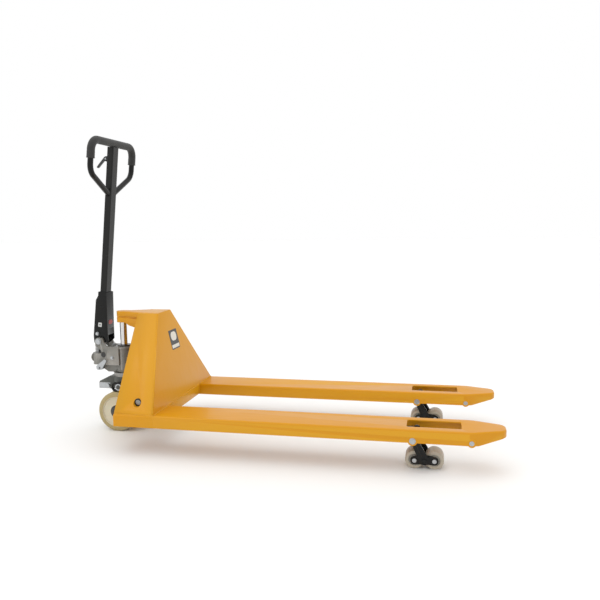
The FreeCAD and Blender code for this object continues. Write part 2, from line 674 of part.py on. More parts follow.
def handle_bracket():
    """Folded channel, open behind, that holds the tube and straddles the plunger."""
    body = new_body("handle_bracket", **HANDLE)
    cheek = [
        ("-26", "-14", "8"), ("14", "-16", "10"), ("40", "6", "10"), ("34", "60"),
        ("20", "225"), ("-20", "225"), ("-20", "206", "10"), ("-30", "186", "10"), ("-32", "20", "10"),
    ]
    for low, high in (("TubeHalfY + 0.2", "CheekOut"), ("-CheekOut", "-TubeHalfY - 0.2")):
        pad(body, "side", [cheek], low, high)
    pad(body, "side", [[
        ("37", "32"), ("34", "60"), ("20", "225"), ("15.2", "225"), ("29", "60"), ("32", "32"),
    ]],
        "-TubeHalfY - 0.3", "TubeHalfY + 0.3")
    pocket(body, "side", [("0", "0", "ShaftR + Fit")], "-CheekOut - 1", "CheekOut + 1")


def handle_tube():
    """Rectangular tube from the bracket up to the loop's top bar."""
    body = new_body("handle_tube", **HANDLE)
    corner = "5"
    outer = [
        ("-TubeHalfX", "-TubeHalfY", corner), ("TubeHalfX", "-TubeHalfY", corner),
        ("TubeHalfX", "TubeHalfY", corner), ("-TubeHalfX", "TubeHalfY", corner),
    ]
    bore = [
        ("-TubeHalfX + 3", "-TubeHalfY + 3", "2"), ("TubeHalfX - 3", "-TubeHalfY + 3", "2"),
        ("TubeHalfX - 3", "TubeHalfY - 3", "2"), ("-TubeHalfX + 3", "TubeHalfY - 3", "2"),
    ]
    pad(body, "top", [outer, bore], "44", "LoopTop - GripR - 0.2")


def bent_bar(name, corners, radius, bore):
    """Round bar along a path in the plane of the loop, with tangent bends; a bore leaves a sleeve."""
    spots = [Vector(0, value(item[0]), value(item[1])) for item in corners]
    edges = []
    start = spots[0]
    for i in range(1, len(spots) - 1):
        turn = corner_arc(spots[i - 1], spots[i], spots[i + 1], value(corners[i][2]))
        edges.append(Part.LineSegment(start, turn[0]).toShape())
        edges.append(Part.Arc(*turn).toShape())
        start = turn[2]
    edges.append(Part.LineSegment(start, spots[-1]).toShape())
    path = Part.Wire(edges)
    bars = []
    for size in (radius, bore):
        section = Part.Wire(Part.makeCircle(value(size), spots[0], spots[1] - spots[0]))
        bars.append(path.makePipeShell([section], True, False))
    item = doc.addObject("Part::Feature", name)
    item.Shape = bars[0].cut(bars[1])
    return new_part(name, item, **HANDLE)


def hand_loop():
    """Bent tube of the hand loop, its struts let in to the handle tube, and the soft sleeve on it."""
    bent_bar("handle_loop", [
        ("-TubeHalfY", "LoopJoin"), ("-LoopHalf", "LoopBend", "55"), ("-LoopHalf", "LoopTop", "46"),
        ("LoopHalf", "LoopTop", "46"), ("LoopHalf", "LoopBend", "55"), ("TubeHalfY", "LoopJoin"),
    ], "LoopR", "LoopR - 2.5")
    bent_bar("grip", [
        ("-LoopHalf", "GripLow"), ("-LoopHalf", "LoopTop", "46"), ("LoopHalf", "LoopTop", "46"),
        ("LoopHalf", "GripLow"),
    ], "GripR", "LoopR")


def press_roller():
    """Hardened roller between the bracket's cheeks that pushes the plunger down, and the bolts."""
    roller = doc.addObject("PartDesign::Body", "press_ring")
    pad(roller, "side", [("PressX", "PressZ", "PressR"), ("PressX", "PressZ", "5")], "-18", "18")
    group("press_roller", [roller], **HANDLE)
    shaft = cross_rod("press_shaft", "PressX", "PressZ", "5", "-TubeHalfY - 0.2", "TubeHalfY + 0.2")
    heads = [cross_rod("bolt_head", "-11", "33", "8", low, high)
             for low, high in (("CheekOut", "CheekOut + 5"), ("-CheekOut - 5", "-CheekOut"))]
    group("handle_fasteners", [shaft] + heads, **HANDLE)


def control_lever():
    """Finger lever for lift, drive and lower, on a pin through the tube below the top bar."""
    body = new_body("control_lever", **HANDLE)
    pad(body, "side", [[
        ("-TubeHalfX - 22", "LeverZ + 9", "8"), ("-TubeHalfX - 3", "LeverZ + 9", "8"),
        ("-TubeHalfX - 3", "LeverZ - 9", "8"), ("-TubeHalfX - 22", "LeverZ - 9"),
        ("-TubeHalfX - 50", "LeverZ - 44", "4"), ("-TubeHalfX - 58", "LeverZ - 40", "4"),
    ]], "-5", "5")
    pocket(body, "side", [("-TubeHalfX - 12", "LeverZ", "3 + Fit")], "-6", "6")
    clevis = new_body("lever_clevis", **HANDLE)
    for low, high in (("6", "10"), ("-10", "-6")):
        pad(clevis, "side", [[
            ("-TubeHalfX", "LeverZ - 14"), ("-TubeHalfX", "LeverZ + 14"),
            ("-TubeHalfX - 20", "LeverZ + 9", "6"), ("-TubeHalfX - 20", "LeverZ - 9", "6"),
        ]], low, high)
    pad(clevis, "side", [("-TubeHalfX - 12", "LeverZ", "3")], "-10", "10")


# --- lifting linkage: rocker, push rods, load roller frames and bogies -------------------------

def rocker():
    """Torsion shaft with two arms up to the base's trunnions and a drive arm over each fork."""
    shaft = cross_rod("torsion_rod", "TorsionX", "TorsionZ", "TorsionR", "-299", "299")
    group("torsion_shaft", [shaft])
    for end, sign in SIDES.items():
        arm = new_body(f"rocker_arm_{end}")
        low, high = ("ArmIn", "ArmOut") if sign > 0 else ("-ArmOut", "-ArmIn")
        pad(arm, "side", [[
            ("-34", "TrunnionZ - 21", "17"), ("-12", "TrunnionZ - 21"), ("44", "TrunnionZ + 4", "20"),
            ("TorsionX - 34", "TorsionZ - 2", "20"), ("TorsionX - 4", "TorsionZ - 27", "12"),
            ("TorsionX + 27", "TorsionZ - 27", "26"), ("TorsionX + 27", "TorsionZ + 27", "26"),
            ("TorsionX - 20", "TorsionZ + 27", "20"), ("100", "TrunnionZ + 32", "60"),
            ("20", "TrunnionZ + 24", "30"),
            ("-34", "TrunnionZ + 18", "16"),
        ]], low, high)
        pocket(arm, "side", [[
            ("-29", "TrunnionZ - 12.1", "12"), ("11", "TrunnionZ - 12.1", "12"),
            ("11", "TrunnionZ + 12.1", "12"), ("-29", "TrunnionZ + 12.1", "12"),
        ]], f"{low} - 1", f"{high} + 1")
        pocket(arm, "side", [("TorsionX", "TorsionZ", "TorsionR")], f"{low} - 1", f"{high} + 1")
        drive = new_body(f"drive_arm_{end}")
        low, high = ("DriveIn", "DriveOut") if sign > 0 else ("-DriveOut", "-DriveIn")
        pin_low, pin_high = ("254", "DriveIn + 0.5") if sign > 0 else ("-DriveIn - 0.5", "-254")
        pad(drive, "side", [[
            ("TorsionX - 25", "TorsionZ + 25", "24"), ("TorsionX - 25", "TorsionZ - 20", "20"),
            ("DrivePinX - 15", "DrivePinZ - 14", "13"), ("DrivePinX + 14", "DrivePinZ - 14", "13"),
            ("TorsionX + 25", "TorsionZ - 20", "20"), ("TorsionX + 25", "TorsionZ + 25", "24"),
        ]], low, high)
        pad(drive, "side", [("DrivePinX", "DrivePinZ", "8")], pin_low, pin_high)
        pocket(drive, "side", [("TorsionX", "TorsionZ", "TorsionR")], f"{low} - 1", f"{high} + 1")


def push_rod(end, sign):
    """Flat bar under the fork with an eye at each end."""
    body = new_body(f"push_rod_{end}", y=f"{sign} * ForkCentre")
    pad(body, "side", [[
        ("DrivePinX", "DrivePinZ - 8"), ("PushPinX", "PushPinZ - 8"),
        ("PushPinX", "PushPinZ + 8"), ("DrivePinX", "DrivePinZ + 8"),
    ]], "-6", "6")
    pad(body, "side", [("DrivePinX", "DrivePinZ", "16")], "-6", "6")
    pad(body, "side", [("PushPinX", "PushPinZ", "14")], "-6", "6")
    pocket(body, "side", [("DrivePinX", "DrivePinZ", "10.6"), ("PushPinX", "PushPinZ", "11.2")], "-7", "7")


def roller_frame(end, sign):
    """Forked arm on the pivot pin: two cheeks down to the bogie and a lug for the push rod."""
    body = new_body(f"roller_frame_{end}", y=f"{sign} * ForkCentre")
    for low, high in (("8", "60"), ("-60", "-8")):
        pad(body, "side", [("RollerPivotX", "RollerPivotZ", "13")], low, high)
    cheek = [
        ("RollerPivotX - 15", "RollerPivotZ + 6", "9"), ("RollerPivotX + 6", "RollerPivotZ + 16", "12"),
        ("BogieX + 18", "BogieZ + 10", "12"), ("BogieX + 9", "BogieZ - 16", "12"),
        ("BogieX - 16", "BogieZ - 8", "12"),
    ]
    lug = [
        ("RollerPivotX - 15", "RollerPivotZ - 14", "12"), ("RollerPivotX - 15", "RollerPivotZ + 14", "12"),
        ("PushPinX - 4", "PushPinZ + 12", "9"), ("PushPinX + 11", "PushPinZ + 4", "9"),
        ("RollerPivotX + 17", "RollerPivotZ - 14", "12"),
    ]
    for low, high in (("CheekIn", "CheekIn + 6"), ("-CheekIn - 6", "-CheekIn")):
        pad(body, "side", [cheek], low, high)
    for low, high in (("8", "14"), ("-14", "-8")):
        pad(body, "side", [lug], low, high)
    pad(body, "side", [("PushPinX", "PushPinZ", "6.5")], "-14", "14")
    pocket(body, "side", [("RollerPivotX", "RollerPivotZ", "PivotPinR + Fit")], "-61", "61")
    pocket(body, "side", [("BogieX", "BogieZ", "BogiePinR + Fit")], "-61", "61")


def bogie(end, sign):
    """Two rocking plates that carry a pair of load rollers, and the rollers' axles."""
    centre = f"{sign} * ForkCentre"
    plates = []
    stubs = {1: ("CheekIn - 4", "CheekIn + 6"), -1: ("-CheekIn - 6", "4 - CheekIn")}
    for hand, low, high in ((1, "CheekIn - 9", "CheekIn - 3"), (-1, "3 - CheekIn", "9 - CheekIn")):
        plate = doc.addObject("PartDesign::Body", f"bogie_plate_{end}")
        pad(plate, "side", [[
            ("BogieX - RollerStep - 15", "BogieZ - 15", "14"),
            ("BogieX + RollerStep + 15", "BogieZ - 15", "14"),
            ("BogieX + RollerStep + 15", "BogieZ + 13", "13"), ("BogieX", "BogieZ + 24", "16"),
            ("BogieX - RollerStep - 15", "BogieZ + 13", "13"),
        ]], low, high)
        pad(plate, "side", [("BogieX", "BogieZ", "BogiePinR")], *stubs[hand])
        pocket(plate, "side", [
            ("BogieX - RollerStep", "BogieZ", "RollerAxleR"),
            ("BogieX + RollerStep", "BogieZ", "RollerAxleR"),
        ], f"{low} - 1", f"{high} + 1")
        plates.append(plate)
    group(f"bogie_{end}", plates, y=centre)
    axles = []
    for step in (-1, 1):
        x = f"BogieX + {step} * RollerStep"
        axles.append(cross_rod(f"axle_{end}", x, "BogieZ", "RollerAxleR", "1 - CheekIn", "CheekIn - 1"))
    group(f"bogie_axles_{end}", axles, y=centre)
    for number, step in (("1", -1), ("2", 1)):
        x = f"BogieX + {step} * RollerStep"
        roller = new_body(f"load_roller_{end}{number}", x=x, y=centre, z="BogieZ")
        inner = "RollerAxleR + Fit"
        revolve(roller, "front", [
            ("-RollerHalf", inner), ("RollerHalf", inner), ("RollerHalf", "16"), ("RollerHalf - 2", "17"),
            ("RollerHalf - 2", "20"), ("RollerHalf", "21"), ("RollerHalf", "RollerR - 3"),
            ("RollerHalf - 3", "RollerR"),
            ("-RollerHalf + 3", "RollerR"), ("-RollerHalf", "RollerR - 3"), ("-RollerHalf", "21"),
            ("-RollerHalf + 2", "20"), ("-RollerHalf + 2", "17"), ("-RollerHalf", "16"),
        ], "Y_Axis")


def build():
    for end, sign in SIDES.items():
        for make in (fork_blade, fork_heel, tip_skid, side_plate, fork_pins, entry_roller,
                     push_rod, roller_frame, bogie):
            make(end, sign)
        steering_wheel(end, sign)
    for make in (load_panel, cross_apron, top_bracket, ram, torsion_bushes, base_casting, nose_bar,
                 thrust_bearing, pump_body, ram_seal, wheel_axle, valves, pivot_shaft, plunger,
                 release_lever, handle_bracket, handle_tube, hand_loop, press_roller, control_lever, rocker):
        make()


def write():
    doc.recompute()
    for item in doc.Objects:
        if "Invalid" in item.State or "Error" in item.State:
            raise RuntimeError(f"{item.Label} failed to recompute")
    os.makedirs("parts", exist_ok=True)
    for item in nodes:
        if item.Shape.isNull() or not item.Shape.isValid():
            raise RuntimeError(f"{item.Label} has no valid shape")
        item.Shape.exportStep(f"parts/{item.Label}.step")
        print(item.Label, len(item.Shape.Solids), round(item.Shape.Volume))


build()
write()
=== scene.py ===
import json
import math

import bmesh
import bpy
from mathutils import Matrix, Vector


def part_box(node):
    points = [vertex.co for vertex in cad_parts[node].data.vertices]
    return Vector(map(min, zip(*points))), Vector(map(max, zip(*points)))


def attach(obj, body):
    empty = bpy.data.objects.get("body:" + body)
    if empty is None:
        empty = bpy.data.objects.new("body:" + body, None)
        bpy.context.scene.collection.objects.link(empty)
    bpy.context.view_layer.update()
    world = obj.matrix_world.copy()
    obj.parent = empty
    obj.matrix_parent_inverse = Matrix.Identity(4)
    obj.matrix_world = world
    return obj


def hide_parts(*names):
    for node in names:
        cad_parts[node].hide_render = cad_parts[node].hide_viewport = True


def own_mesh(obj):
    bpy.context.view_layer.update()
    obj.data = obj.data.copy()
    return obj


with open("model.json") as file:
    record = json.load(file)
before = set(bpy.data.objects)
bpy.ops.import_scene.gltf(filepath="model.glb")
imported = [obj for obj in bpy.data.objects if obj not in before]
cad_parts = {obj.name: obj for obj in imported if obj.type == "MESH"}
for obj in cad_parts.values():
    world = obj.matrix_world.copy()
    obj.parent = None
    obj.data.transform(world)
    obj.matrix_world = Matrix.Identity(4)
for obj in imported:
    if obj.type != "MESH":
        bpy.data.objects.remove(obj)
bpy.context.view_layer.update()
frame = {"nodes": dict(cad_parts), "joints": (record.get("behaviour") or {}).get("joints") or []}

# Welded fork frame. Folded and cut steel sheet, welded, then sprayed with a thick glossy enamel.
# The enamel has a fine orange-peel skin, goes paler and duller where pallets rub, and holds a
# little dirt in streaky patches. The cut edges are slightly rounded under the paint.
MM = 0.001
PAINT_YELLOW = "CE8C05"
PAINT_RUBBED = "D39818"
PAINT_GRIME = "9A6808"
SHEET_EDGE = 1.2 * MM


def linear(code):
    """An sRGB hex colour as the linear values a shader reads."""
    parts = [int(code[i:i + 2], 16) / 255 for i in (0, 2, 4)]
    return [c / 12.92 if c <= 0.04045 else ((c + 0.055) / 1.055) ** 2.4 for c in parts] + [1.0]


def add(material, kind, links=(), **settings):
    """Add one shader node, set its inputs or properties, and link its inputs to other outputs."""
    item = material.node_tree.nodes.new(kind)
    for name, setting in settings.items():
        if hasattr(item, name):
            setattr(item, name, setting)
        else:
            item.inputs[name.replace("_", " ")].default_value = setting
    for socket, source in links:
        material.node_tree.links.new(source, item.inputs[socket])
    return item


def new_material(name, roughness, metallic=0.0, **shader):
    """A material with its surface shader set up, and the object's own coordinates."""
    material = bpy.data.materials.new(name)
    material.use_nodes = True
    surface = material.node_tree.nodes["Principled BSDF"]
    surface.inputs["Roughness"].default_value = roughness
    surface.inputs["Metallic"].default_value = metallic
    for socket, setting in shader.items():
        surface.inputs[socket.replace("_", " ")].default_value = setting
    place = add(material, "ShaderNodeTexCoord").outputs["Object"]
    return material, surface, place


def join(material, source, target):
    material.node_tree.links.new(source, target)


def noise(material, place, size, detail=3.0):
    """Soft noise whose features are about size metres across."""
    return add(material, "ShaderNodeTexNoise", [("Vector", place)], Scale=1 / size, Detail=detail)


def ramp(material, source, stops):
    """Spread a value over colours or greys, given as (position, hex code)."""
    item = add(material, "ShaderNodeValToRGB", [("Fac", source)])
    while len(item.color_ramp.elements) < len(stops):
        item.color_ramp.elements.new(0.5)
    for element, (position, code) in zip(item.color_ramp.elements, stops):
        element.position = position
        element.color = linear(code)
    return item.outputs["Color"]


def mix(material, factor, first, second, blend="MIX"):
    item = add(material, "ShaderNodeMix", data_type="RGBA", blend_type=blend)
    join(material, factor, item.inputs["Factor"])
    for socket, source in ((item.inputs[6], first), (item.inputs[7], second)):
        if isinstance(source, str):
            socket.default_value = linear(source)
        else:
            join(material, source, socket)
    return item.outputs[2]


def bump(material, surface, heights):
    """Lay several height patterns over each other: (value, depth in metres, strength)."""
    under = None
    for height, depth, strength in heights:
        item = add(material, "ShaderNodeBump", [("Height", height)], Strength=strength, Distance=depth)
        if under:
            join(material, under, item.inputs["Normal"])
        under = item.outputs["Normal"]
    join(material, under, surface.inputs["Normal"])


def edge_wear(material, low, high):
    """A grey that is pale on sharp outer edges."""
    point = add(material, "ShaderNodeNewGeometry").outputs["Pointiness"]
    span = add(material, "ShaderNodeMapRange", [("Value", point)], clamp=True)
    span.inputs["From Min"].default_value = low
    span.inputs["From Max"].default_value = high
    return span.outputs["Result"]


def paint(name, base, rubbed, grime, roughness, coat):
    """Sprayed enamel: colour drift, rubbed patches, orange peel, and a duller skin in places."""
    material, surface, place = new_material(name, roughness, Specular_IOR_Level=0.25, Coat_Weight=coat,
                                            Coat_Roughness=0.12)
    drift = noise(material, place, 0.16, 5.0).outputs["Fac"]
    colour = mix(material, ramp(material, drift, [(0.42, "000000"), (0.72, "555555")]), base, rubbed)
    streak = add(material, "ShaderNodeMapping", [("Vector", place)], Scale=(1.0, 6.0, 1.0))
    dirt = noise(material, streak.outputs["Vector"], 0.09, 7.0).outputs["Fac"]
    colour = mix(material, ramp(material, dirt, [(0.56, "000000"), (0.8, "3C3C3C")]), colour, grime)
    colour = mix(material, edge_wear(material, 0.52, 0.60), colour, rubbed)
    join(material, colour, surface.inputs["Base Color"])
    gloss = add(material, "ShaderNodeMapRange", [("Value", dirt)])
    gloss.inputs["To Min"].default_value = roughness - 0.07
    gloss.inputs["To Max"].default_value = roughness + 0.14
    join(material, gloss.outputs["Result"], surface.inputs["Roughness"])
    peel = noise(material, place, 2.2 * MM, 1.0).outputs["Fac"]
    dents = noise(material, place, 0.12, 2.0).outputs["Fac"]
    bump(material, surface, [(dents, 1.0 * MM, 0.25), (peel, 0.12 * MM, 0.35)])
    return material


def finish(piece, material, body):
    """Give a new piece its material, its body and the material slot it belongs to."""
    piece.data.materials.clear()
    piece.data.materials.append(material)
    for polygon in piece.data.polygons:
        polygon.use_smooth = True
    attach(piece, body)
    return piece


def from_bmesh(name, mesh):
    bmesh.ops.recalc_face_normals(mesh, faces=mesh.faces)
    data = bpy.data.meshes.new(name)
    mesh.to_mesh(data)
    mesh.free()
    piece = bpy.data.objects.new(name, data)
    bpy.context.scene.collection.objects.link(piece)
    return piece


def eased(node, body, material, width, segments=2):
    """A copy of a CAD node with its flat faces merged and its sharp edges eased by a bevel."""
    mesh = bmesh.new()
    mesh.from_mesh(frame["nodes"][node].data)
    bmesh.ops.remove_doubles(mesh, verts=mesh.verts, dist=0.02 * MM)
    bmesh.ops.dissolve_limit(mesh, angle_limit=math.radians(1), verts=mesh.verts, edges=mesh.edges)
    data = bpy.data.meshes.new(node + "_eased")
    mesh.to_mesh(data)
    mesh.free()
    piece = bpy.data.objects.new(node + "_eased", data)
    bpy.context.scene.collection.objects.link(piece)
    edge = piece.modifiers.new("Eased edges", "BEVEL")
    edge.width = width
    edge.segments = segments
    edge.limit_method = "ANGLE"
    edge.angle_limit = math.radians(40)
    edge.harden_normals = True
    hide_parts(node)
    return finish(piece, material, body)


def dress(material, *nodes):
    """Give CAD nodes that already have the right shape their material."""
    for node in nodes:
        data = frame["nodes"][node].data
        data.materials.clear()
        data.materials.append(material)


enamel = paint("yellow_sprayed_enamel", PAINT_YELLOW, PAINT_RUBBED, PAINT_GRIME, 0.34, 0.12)
for end in ("l", "r"):
    for part in ("fork_blade", "fork_heel", "tip_skid", "side_plate"):
        eased(f"{part}_{end}", "frame", enamel, SHEET_EDGE)
eased("load_panel", "frame", enamel, SHEET_EDGE)
eased("cross_apron", "frame", enamel, SHEET_EDGE)
eased("top_bracket", "frame", enamel, 2.5 * MM)
dress(enamel, "torsion_bushes")


# Weld beads. Wire welds laid round the feet of the plates and up the corners, painted over.
# Each bead is a row of overlapping round drops, one for each pause of the torch, and the
# two corners of the load panel are ground round instead.
DROP_STEP = 3.6 * MM
FOOT_BEAD = 2.6 * MM
PANEL_BEAD = 2.8 * MM
APRON_BEAD = 2.2 * MM
CORNER_R = 3.4 * MM
CORNER_INSET = 3.2 * MM
FOOT_Y = 337 * MM
APRON_HALF = 178 * MM
FORK_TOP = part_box("fork_blade_l")[1].z
PANEL_FOOT_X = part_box("load_panel")[1].x
PANEL_TOP_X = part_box("load_panel")[0].x + 5.2 * MM
FRAME_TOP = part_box("load_panel")[1].z
TOP_HALF = 65 * MM


def weld_bead(name, start, end, radius):
    mesh = bmesh.new()
    steps = max(2, int((end - start).length / DROP_STEP))
    for i in range(steps + 1):
        middle = start.lerp(end, i / steps)
        size = radius * (1 + 0.08 * math.sin(2.4 * i) + 0.05 * math.sin(5.1 * i))
        bmesh.ops.create_icosphere(mesh, subdivisions=2, radius=size, matrix=Matrix.Translation(middle))
    return finish(from_bmesh(name, mesh), enamel, "frame")


def rounded_corner(name, start, end, radius):
    """A ground corner: a smooth bar along the meeting edge of two plates."""
    mesh = bmesh.new()
    run = end - start
    turn = run.to_track_quat("Z", "Y").to_matrix().to_4x4()
    bmesh.ops.create_cone(mesh, cap_ends=True, segments=32, radius1=radius, radius2=radius,
                          depth=run.length, matrix=Matrix.Translation((start + end) / 2) @ turn)
    return finish(from_bmesh(name, mesh), enamel, "frame")


HEEL_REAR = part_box("side_plate_l")[0].x + 14 * MM
for end, sign in (("l", 1), ("r", -1)):
    weld_bead(f"foot_weld_{end}", Vector((HEEL_REAR, sign * FOOT_Y, FORK_TOP)),
              Vector((PANEL_FOOT_X, sign * FOOT_Y, FORK_TOP)), FOOT_BEAD)
    weld_bead(f"panel_weld_{end}", Vector((PANEL_FOOT_X, sign * 190 * MM, FORK_TOP)),
              Vector((PANEL_FOOT_X, sign * 330 * MM, FORK_TOP)), PANEL_BEAD)
    foot = Vector((PANEL_FOOT_X - CORNER_INSET, sign * (FOOT_Y - CORNER_INSET), FORK_TOP + 2 * MM))
    top = Vector((PANEL_TOP_X - CORNER_INSET, sign * (TOP_HALF - CORNER_INSET), FRAME_TOP - 3 * MM))
    rounded_corner(f"panel_corner_{end}", foot, top, CORNER_R)
apron_x = PANEL_FOOT_X - 0.5 * MM
weld_bead("apron_weld", Vector((apron_x, -APRON_HALF, FORK_TOP)),
          Vector((apron_x, APRON_HALF, FORK_TOP)), APRON_BEAD)


# Blank labels. Printed vinyl stickers with nothing readable: a dark one with a pale band on the
# load panel, a small white one on the side of the handle bracket and an oval red one in front.
LABEL_THICK = 0.35 * MM
LABEL_GAP = 0.15 * MM
LABEL_STEP = 0.3 * MM
LABEL_BLACK = "1C1B1A"
LABEL_WHITE = "D9D6CC"


def vinyl(name, code):
    material, surface, place = new_material(name, 0.38, Coat_Weight=0.2)
    fade = noise(material, place, 0.02, 4.0).outputs["Fac"]
    share = ramp(material, fade, [(0.4, "000000"), (0.8, "222222")])
    join(material, mix(material, share, code, "B8B4AC"), surface.inputs["Base Color"])
    bump(material, surface, [(fade, 0.2 * MM, 0.2)])
    return material


def label(name, centre, across, up, width, height, code, body, corner, rounds=4):
    """A thin sticker with rounded corners, lying in the plane of its across and up directions."""
    mesh = bmesh.new()
    out = across.cross(up).normalized()
    basis = Matrix((across.normalized(), up.normalized(), out)).transposed().to_4x4()
    bmesh.ops.create_grid(mesh, x_segments=1, y_segments=1, size=0.5)
    bmesh.ops.scale(mesh, vec=(width, height, 1), verts=mesh.verts)
    bmesh.ops.bevel(mesh, geom=mesh.verts, offset=corner, segments=rounds, affect="VERTICES",
                    profile=0.5, material=-1)
    grown = bmesh.ops.extrude_face_region(mesh, geom=mesh.faces)
    lifted = [item for item in grown["geom"] if isinstance(item, bmesh.types.BMVert)]
    bmesh.ops.translate(mesh, vec=(0, 0, LABEL_THICK), verts=lifted)
    lie = Matrix.Translation(centre + out * LABEL_GAP) @ basis
    bmesh.ops.transform(mesh, matrix=lie, verts=mesh.verts)
    piece = from_bmesh(name, mesh)
    finish(piece, vinyl(name + "_vinyl", code), body)
    for polygon in piece.data.polygons:
        polygon.use_smooth = False
    return piece


panel_up = Vector((PANEL_TOP_X - PANEL_FOOT_X, 0, FRAME_TOP - FORK_TOP)).normalized()
panel_across = Vector((0, 1, 0))


def on_panel(height, y):
    """A point on the front of the load panel."""
    share = (height * MM - FORK_TOP) / (FRAME_TOP - FORK_TOP)
    return Vector((PANEL_FOOT_X + (PANEL_TOP_X - PANEL_FOOT_X) * share, y * MM, height * MM))


label_lift = Vector((LABEL_STEP, 0, 0))
label("panel_label", on_panel(410, 29), panel_across, panel_up,
      86 * MM, 88 * MM, LABEL_BLACK, "frame", 4 * MM)
label("panel_label_field", on_panel(424, 29) + label_lift, panel_across, panel_up,
      58 * MM, 40 * MM, LABEL_WHITE, "frame", 19.5 * MM, 10)
label("panel_label_band", on_panel(380, 29) + label_lift, panel_across, panel_up,
      76 * MM, 15 * MM, LABEL_WHITE, "frame", 1.5 * MM)


# Lifting ram and its bracket. Ground steel rod with hard chrome, wiped bright by the seal.
# It carries only hair-fine rings from the seal, and shows the surroundings dark and light.
chrome, surface, place = new_material("hard_chrome", 0.09, 1.0)
rings = add(chrome, "ShaderNodeMapping", [("Vector", place)], Scale=(0.02, 0.02, 1.0))
lines = noise(chrome, rings.outputs["Vector"], 0.6 * MM, 2.0).outputs["Fac"]
join(chrome, ramp(chrome, lines, [(0.3, "C9C7C6"), (0.7, "DEDCDA")]), surface.inputs["Base Color"])
bump(chrome, surface, [(lines, 0.05 * MM, 0.12)])
dress(chrome, "ram")


# Steering base and pump. Sand-cast iron, sprayed thinly with grey primer-like paint. The sand
# leaves a pebbled skin, edges are soft, and oil darkens it in random patches. The base is the darker
# one.
def cast_skin(name, base, dark, pale):
    material, surface, place = new_material(name, 0.46)
    tone = noise(material, place, 0.035, 6.0).outputs["Fac"]
    colour = mix(material, ramp(material, tone, [(0.38, "000000"), (0.7, "A0A0A0")]), base, dark)
    colour = mix(material, edge_wear(material, 0.52, 0.62), colour, pale)
    join(material, colour, surface.inputs["Base Color"])
    gloss = ramp(material, tone, [(0.3, "A8A8A8"), (0.8, "707070")])
    join(material, gloss, surface.inputs["Roughness"])
    sand = noise(material, place, 1.6 * MM, 4.0).outputs["Fac"]
    lumps = noise(material, place, 9 * MM, 2.0).outputs["Fac"]
    bump(material, surface, [(lumps, 0.8 * MM, 0.35), (sand, 0.35 * MM, 0.55)])
    return material


pump_skin = cast_skin("grey_sprayed_casting", "7C7A73", "4A4B47", "A3A099")
base_skin = cast_skin("dark_sprayed_casting", "43453F", "26272A", "6B6C66")
eased("pump_body", "head", pump_skin, 1.8 * MM, 3)
eased("base_casting", "base", base_skin, 2.2 * MM, 3)


# Machined and plated steel. Pins, axles, shafts and screws are turned or cold-drawn and zinc
# plated; fine turning lines run round them, and the plating has a cloudy grey-blue cast.
def plated(name, pale, dark, roughness):
    material, surface, place = new_material(name, roughness, 1.0)
    cloud = noise(material, place, 6 * MM, 4.0).outputs["Fac"]
    join(material, mix(material, cloud, pale, dark), surface.inputs["Base Color"])
    lines = add(material, "ShaderNodeMapping", [("Vector", place)], Scale=(0.15, 1.0, 0.15))
    turned = noise(material, lines.outputs["Vector"], 0.9 * MM, 2.0).outputs["Fac"]
    bump(material, surface, [(turned, 0.08 * MM, 0.3)])
    return material


zinc = plated("zinc_plated_steel", "C9CBCC", "9B9EA1", 0.30)
steel = plated("drawn_steel", "A9A7A3", "77756F", 0.34)
dress(zinc, "release_valve", "pump_plugs", "plunger", "handle_fasteners", "fork_pins_l", "fork_pins_r",
      "bogie_axles_l", "bogie_axles_r", "pivot_shaft", "release_lever")
dress(steel, "thrust_race_low", "thrust_race_high", "wheel_axle", "torsion_shaft", "press_roller",
      "wheel_hub_l", "wheel_hub_r")
eased("nose_bar", "base", zinc, 1.0 * MM)


def turned_piece(name, profile, centre, axis, material, body):
    """Spin a profile of (along, radius) points, in mm, about an axis through a centre."""
    mesh = bmesh.new()
    spots = [mesh.verts.new((radius * MM, 0, along * MM)) for along, radius in profile]
    edges = [mesh.edges.new((spots[i], spots[i + 1])) for i in range(len(spots) - 1)]
    bmesh.ops.spin(mesh, geom=spots + edges, cent=(0, 0, 0), axis=(0, 0, 1),
                   angle=math.tau, steps=48, use_merge=True)
    bmesh.ops.remove_doubles(mesh, verts=mesh.verts, dist=0.01 * MM)
    turn = Vector(axis).to_track_quat("Z", "Y").to_matrix().to_4x4()
    bmesh.ops.transform(mesh, matrix=Matrix.Translation(centre) @ turn, verts=mesh.verts)
    piece = finish(from_bmesh(name, mesh), material, body)
    crease = piece.modifiers.new("Turned edges", "BEVEL")
    crease.width = 0.4 * MM
    crease.segments = 2
    crease.limit_method = "ANGLE"
    crease.angle_limit = math.radians(35)
    crease.harden_normals = True
    return piece


WASHER = 1.6 * MM
CROWN = 0.8 * MM


def hex_screw(name, centre, axis, across, height, material, body):
    """A hexagon head with a chamfered crown, on a washer."""
    mesh = bmesh.new()
    radius = across / 2 / math.cos(math.pi / 6)
    for sides, low, high, depth, middle in (
        (40, across * 0.72, across * 0.70, WASHER, WASHER / 2),
        (6, radius, radius, height, WASHER + height / 2),
        (40, across * 0.49, across * 0.40, CROWN, WASHER + height + CROWN / 2),
    ):
        bmesh.ops.create_cone(mesh, cap_ends=True, segments=sides, radius1=low, radius2=high,
                              depth=depth, matrix=Matrix.Translation((0, 0, middle)))
    turn = Vector(axis).to_track_quat("Z", "Y").to_matrix().to_4x4()
    bmesh.ops.transform(mesh, matrix=Matrix.Translation(centre) @ turn, verts=mesh.verts)
    piece = from_bmesh(name, mesh)
    edge = piece.modifiers.new("Broken edges", "BEVEL")
    edge.width = 0.35 * MM
    edge.segments = 2
    edge.limit_method = "ANGLE"
    edge.angle_limit = math.radians(25)
    edge.harden_normals = True
    return finish(piece, material, body)


